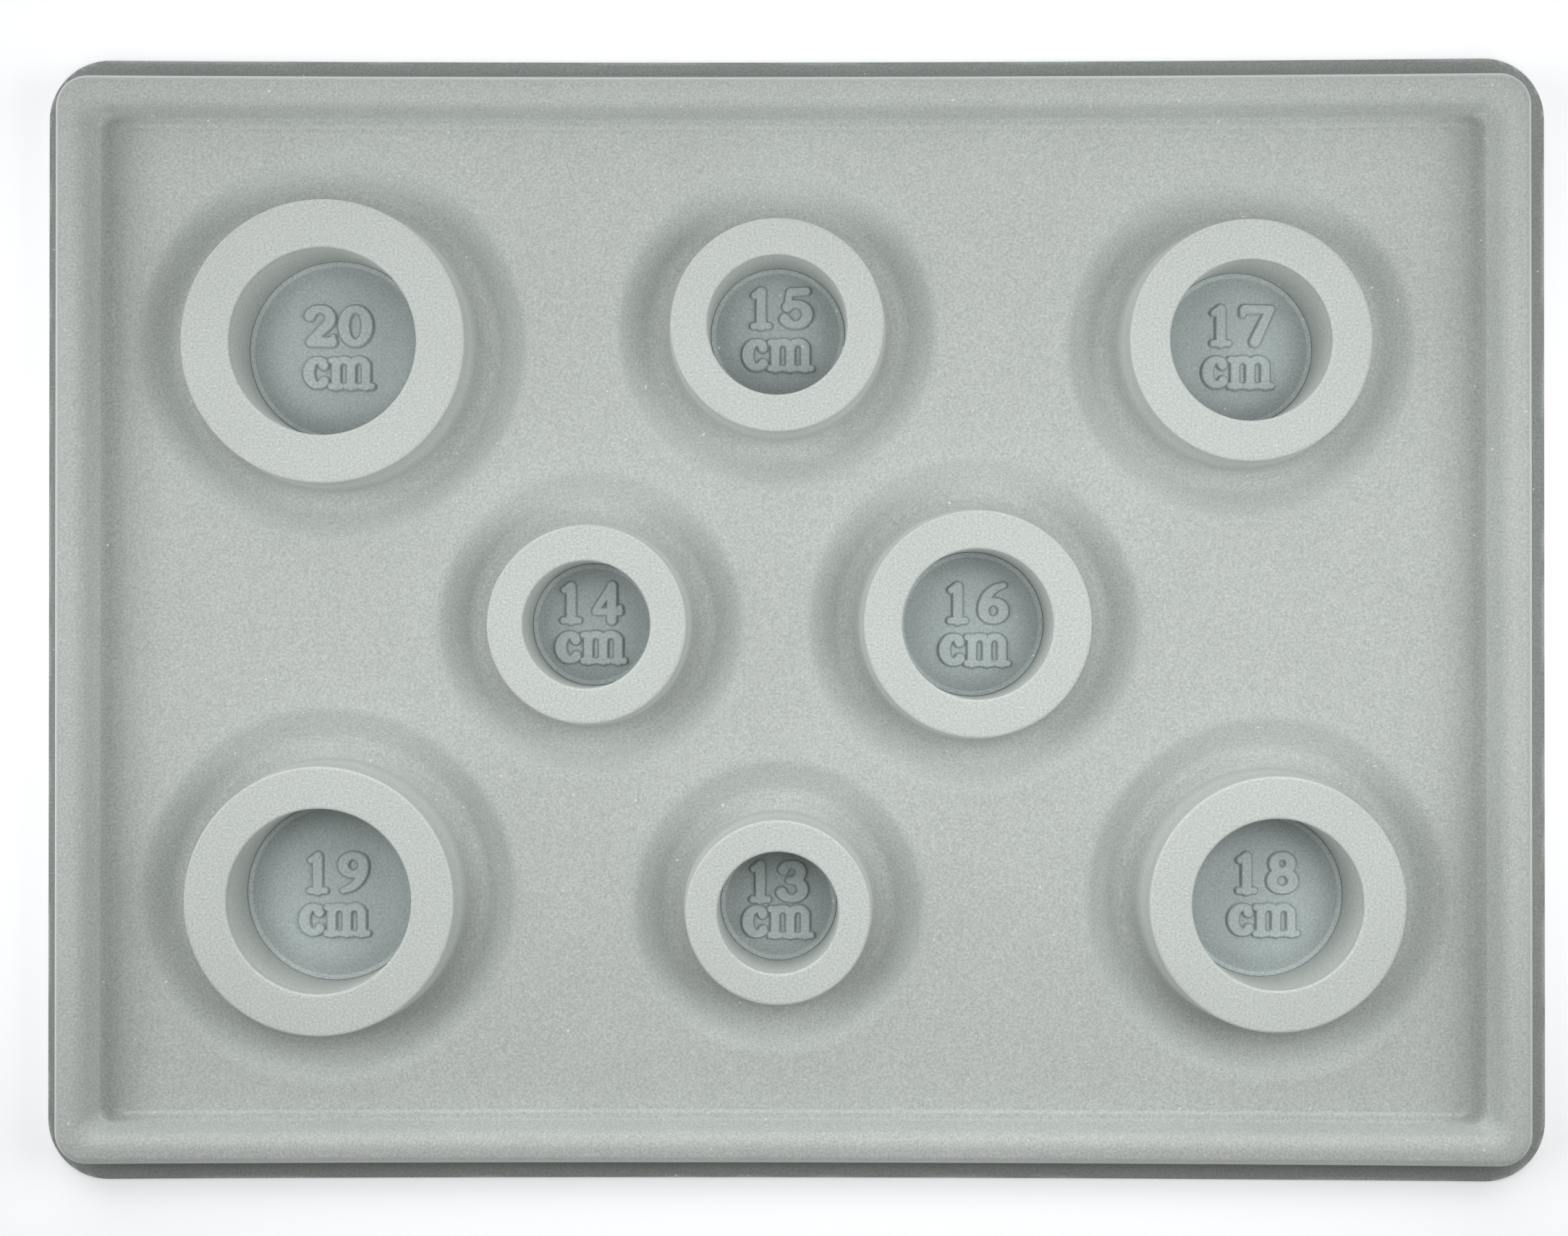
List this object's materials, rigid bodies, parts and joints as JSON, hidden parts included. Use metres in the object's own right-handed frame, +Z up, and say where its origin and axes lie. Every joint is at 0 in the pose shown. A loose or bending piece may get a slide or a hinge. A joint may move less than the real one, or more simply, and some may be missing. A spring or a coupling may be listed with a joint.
{
  "type": "bracelet sizing board",
  "caption": "Flocked tray with a raised rim and hollow round posts. The edge of each post's top is one bracelet size round, and a dished groove round its foot holds the beads.",
  "frame": {"origin": "middle of the board, on the table it stands on", "axes": "+X along the board's length, to the reader's right; +Y along its width, away from the reader; +Z up"},
  "size_m": [0.348, 0.261, 0.02],
  "materials": {
    "flocked_sheet": "grey flock bonded to a formed plastic sheet"
  },
  "bodies": {
    "root": {"rim": "flocked_sheet", "floor_panel": "flocked_sheet", "groove_13cm": "flocked_sheet", "post_13cm": "flocked_sheet", "well_floor_13cm": "flocked_sheet", "groove_14cm": "flocked_sheet", "post_14cm": "flocked_sheet", "well_floor_14cm": "flocked_sheet", "groove_15cm": "flocked_sheet", "post_15cm": "flocked_sheet", "well_floor_15cm": "flocked_sheet", "groove_16cm": "flocked_sheet", "post_16cm": "flocked_sheet", "well_floor_16cm": "flocked_sheet", "groove_17cm": "flocked_sheet", "post_17cm": "flocked_sheet", "well_floor_17cm": "flocked_sheet", "groove_18cm": "flocked_sheet", "post_18cm": "flocked_sheet", "well_floor_18cm": "flocked_sheet", "groove_19cm": "flocked_sheet", "post_19cm": "flocked_sheet", "well_floor_19cm": "flocked_sheet", "groove_20cm": "flocked_sheet", "post_20cm": "flocked_sheet", "well_floor_20cm": "flocked_sheet"}
  },
  "joints": []
}
